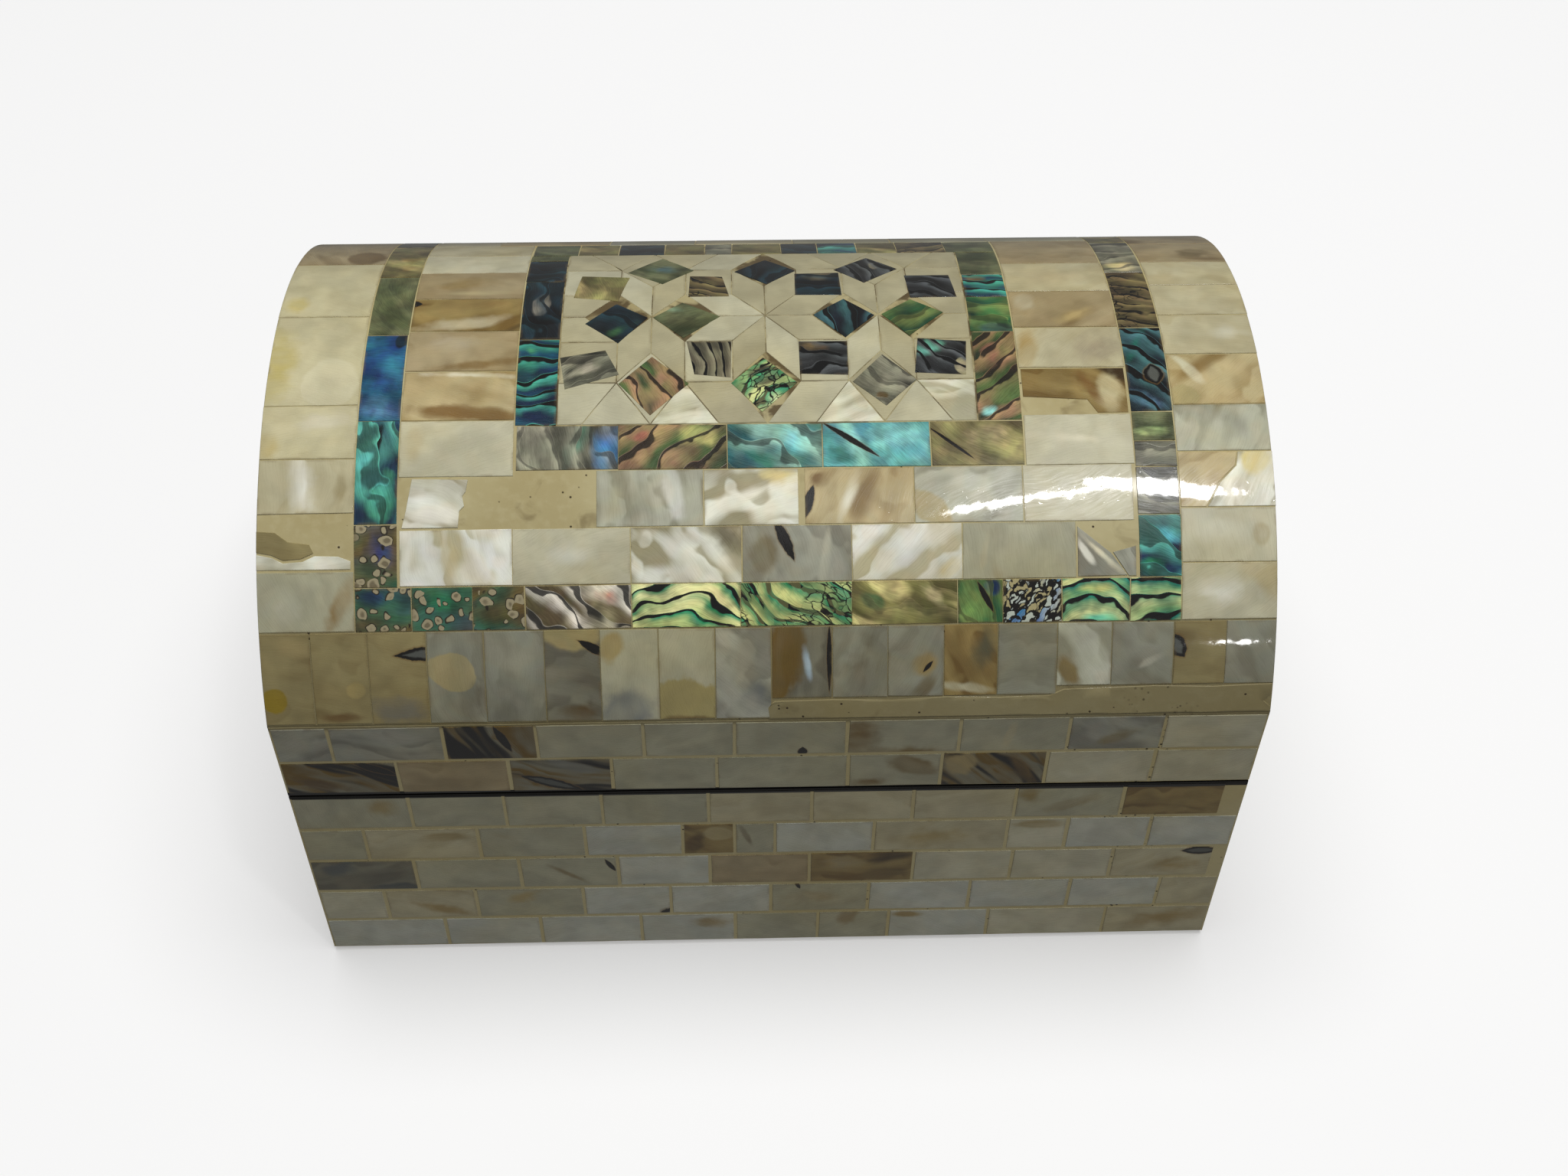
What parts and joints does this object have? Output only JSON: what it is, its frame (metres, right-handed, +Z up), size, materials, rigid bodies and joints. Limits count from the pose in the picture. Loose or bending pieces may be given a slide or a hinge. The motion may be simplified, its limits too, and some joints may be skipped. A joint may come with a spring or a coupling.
{
  "type": "mother of pearl jewelry box",
  "caption": "Domed wooden jewelry box with a lift-off lid, veneered all over with mother of pearl and abalone shell tiles round an inlaid star panel.",
  "frame": {"origin": "centre of the underside, on the surface that the box stands on", "axes": "+Z up, +X along the box from left to right, -Y towards the front"},
  "size_m": [0.15, 0.105, 0.0955],
  "materials": {
    "nacre": "gloss",
    "abalone": "gloss",
    "white_shell": "gloss",
    "putty": "gloss",
    "black_wood": "satin"
  },
  "bodies": {
    "root": {"base_carcass": "black_wood", "lid_carcass": "black_wood", "base_front_course_1": "nacre", "base_front_course_2": "nacre", "base_front_course_3": "nacre", "base_front_course_4": "nacre", "base_front_course_5": "nacre", "base_back_course_1": "nacre", "base_back_course_2": "nacre", "base_back_course_3": "nacre", "base_back_course_4": "nacre", "base_back_course_5": "nacre", "base_left_course_1": "nacre", "base_left_course_2": "nacre", "base_left_course_3": "nacre", "base_left_course_4": "nacre", "base_left_course_5": "nacre", "base_right_course_1": "nacre", "base_right_course_2": "nacre", "base_right_course_3": "nacre", "base_right_course_4": "nacre", "base_right_course_5": "nacre", "lid_front_course_1": "nacre", "lid_front_course_2": "nacre", "lid_back_course_1": "nacre", "lid_back_course_2": "nacre", "lid_left_course_1": "nacre", "lid_left_course_2": "nacre", "lid_right_course_1": "nacre", "lid_right_course_2": "nacre", "lid_left_arch_course_1": "nacre", "lid_left_arch_course_2": "nacre", "lid_left_arch_course_3": "nacre", "lid_left_arch_course_4": "nacre", "lid_right_arch_course_1": "nacre", "lid_right_arch_course_2": "nacre", "lid_right_arch_course_3": "nacre", "lid_right_arch_course_4": "nacre", "tall_row_front": "nacre", "tall_row_back": "nacre", "end_border_left": "nacre", "end_border_right": "nacre", "nacre_row_front_1": "nacre", "nacre_row_front_2": "nacre", "nacre_row_back_1": "nacre", "nacre_row_back_2": "nacre", "nacre_column_left": "nacre", "nacre_column_right": "nacre", "outer_band_front": "abalone", "outer_band_back": "abalone", "outer_band_left": "abalone", "outer_band_right": "abalone", "inner_band_front": "abalone", "inner_band_back": "abalone", "inner_band_left": "abalone", "inner_band_right": "abalone", "star_panel": "white_shell"}
  },
  "joints": []
}
